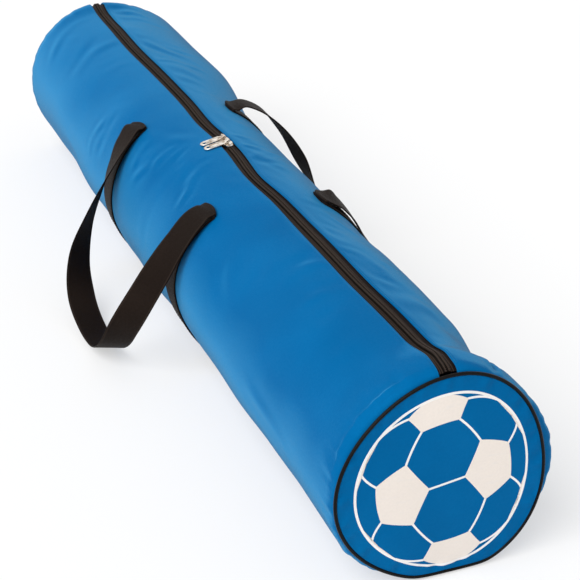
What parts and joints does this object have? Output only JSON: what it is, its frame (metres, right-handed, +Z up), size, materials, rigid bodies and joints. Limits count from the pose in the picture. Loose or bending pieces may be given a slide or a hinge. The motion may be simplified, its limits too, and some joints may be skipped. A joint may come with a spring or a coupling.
{
  "type": "cylindrical carry bag",
  "caption": "Long cylindrical fabric carry bag with a full-length double-slider zip, two webbing handles and a football figure printed on one round end",
  "frame": {"origin": "under the middle of the bag, on the surface that it lies on", "axes": "X along the bag towards the printed end, Y across it, Z up"},
  "size_m": [1.33, 0.407, 0.2447],
  "materials": {
    "bag_fabric": "satin woven polyester, bright blue",
    "webbing": "black flat-woven webbing",
    "zip_tape": "black knitted zip tape",
    "zip_coil": "black nylon coil",
    "zip_metal": "bright nickel plate",
    "black_piping": "black piping cord",
    "binding_tape": "black binding tape",
    "white_print": "warm white screen print"
  },
  "bodies": {
    "shell": {"body_panel": "bag_fabric", "football_print": "white_print", "near_end_disc": "bag_fabric", "near_end_piping": "black_piping", "near_seam_binding": "binding_tape", "near_zip_end_tape": "zip_tape", "near_zip_end_coil": "zip_coil", "near_zip_end_facing": "bag_fabric", "near_girth_band": "webbing", "far_end_disc": "bag_fabric", "far_end_piping": "black_piping", "far_seam_binding": "binding_tape", "far_zip_end_tape": "zip_tape", "far_zip_end_coil": "zip_coil", "far_zip_end_facing": "bag_fabric", "far_girth_band": "webbing"},
    "left_mouth": {"left_mouth_flap": "bag_fabric", "left_zip_tape": "zip_tape", "left_zip_coil": "zip_coil"},
    "right_mouth": {"right_mouth_flap": "bag_fabric", "right_zip_tape": "zip_tape", "right_zip_coil": "zip_coil"},
    "near_slider": {"near_slider": "zip_metal"},
    "far_slider": {"far_slider": "zip_metal"},
    "near_tab": {"near_pull_tab": "zip_metal"},
    "far_tab": {"far_pull_tab": "zip_metal"},
    "left_handle": {"left_handle": "webbing"},
    "right_handle": {"right_handle": "webbing"}
  },
  "joints": [
    {"name": "near_slider_run", "type": "slide", "parent": "shell", "child": "near_slider", "axis": [1, 0, 0], "range_m": [0, 0.57]},
    {"name": "far_slider_run", "type": "slide", "parent": "shell", "child": "far_slider", "axis": [-1, 0, 0], "range_m": [0, 0.57]},
    {"name": "left_mouth_opening", "type": "hinge", "parent": "shell", "child": "left_mouth", "pos_m": [0, 0, 0.11758], "axis": [1, 0, 0], "range_deg": [0, 24], "deforming": ["left_zip_tape", "left_zip_coil"]},
    {"name": "right_mouth_opening", "type": "hinge", "parent": "shell", "child": "right_mouth", "pos_m": [0, 0, 0.11758], "axis": [-1, 0, 0], "range_deg": [0, 24], "deforming": ["right_zip_tape", "right_zip_coil"]},
    {"name": "near_tab_turn", "type": "hinge", "parent": "near_slider", "child": "near_tab", "pos_m": [0.0078, 0, 0.24213], "axis": [-1, 0, 0], "range_deg": [0, 204]},
    {"name": "far_tab_turn", "type": "hinge", "parent": "far_slider", "child": "far_tab", "pos_m": [-0.0078, 0, 0.24213], "axis": [-1, 0, 0], "range_deg": [0, 204]},
    {"name": "left_handle_lift", "type": "hinge", "parent": "shell", "child": "left_handle", "pos_m": [0, -0.07089, 0.21882], "axis": [-1, 0, 0], "range_deg": [0, 158]},
    {"name": "right_handle_lift", "type": "hinge", "parent": "shell", "child": "right_handle", "pos_m": [0, 0.05611, 0.2277], "axis": [1, 0, 0], "range_deg": [0, 152]}
  ],
  "couplings": [
    {"joint": "far_slider_run", "follows": "near_slider_run", "ratio": 1},
    {"joint": "left_mouth_opening", "follows": "near_slider_run", "rad_per_m": 0.733},
    {"joint": "right_mouth_opening", "follows": "near_slider_run", "rad_per_m": 0.733}
  ]
}
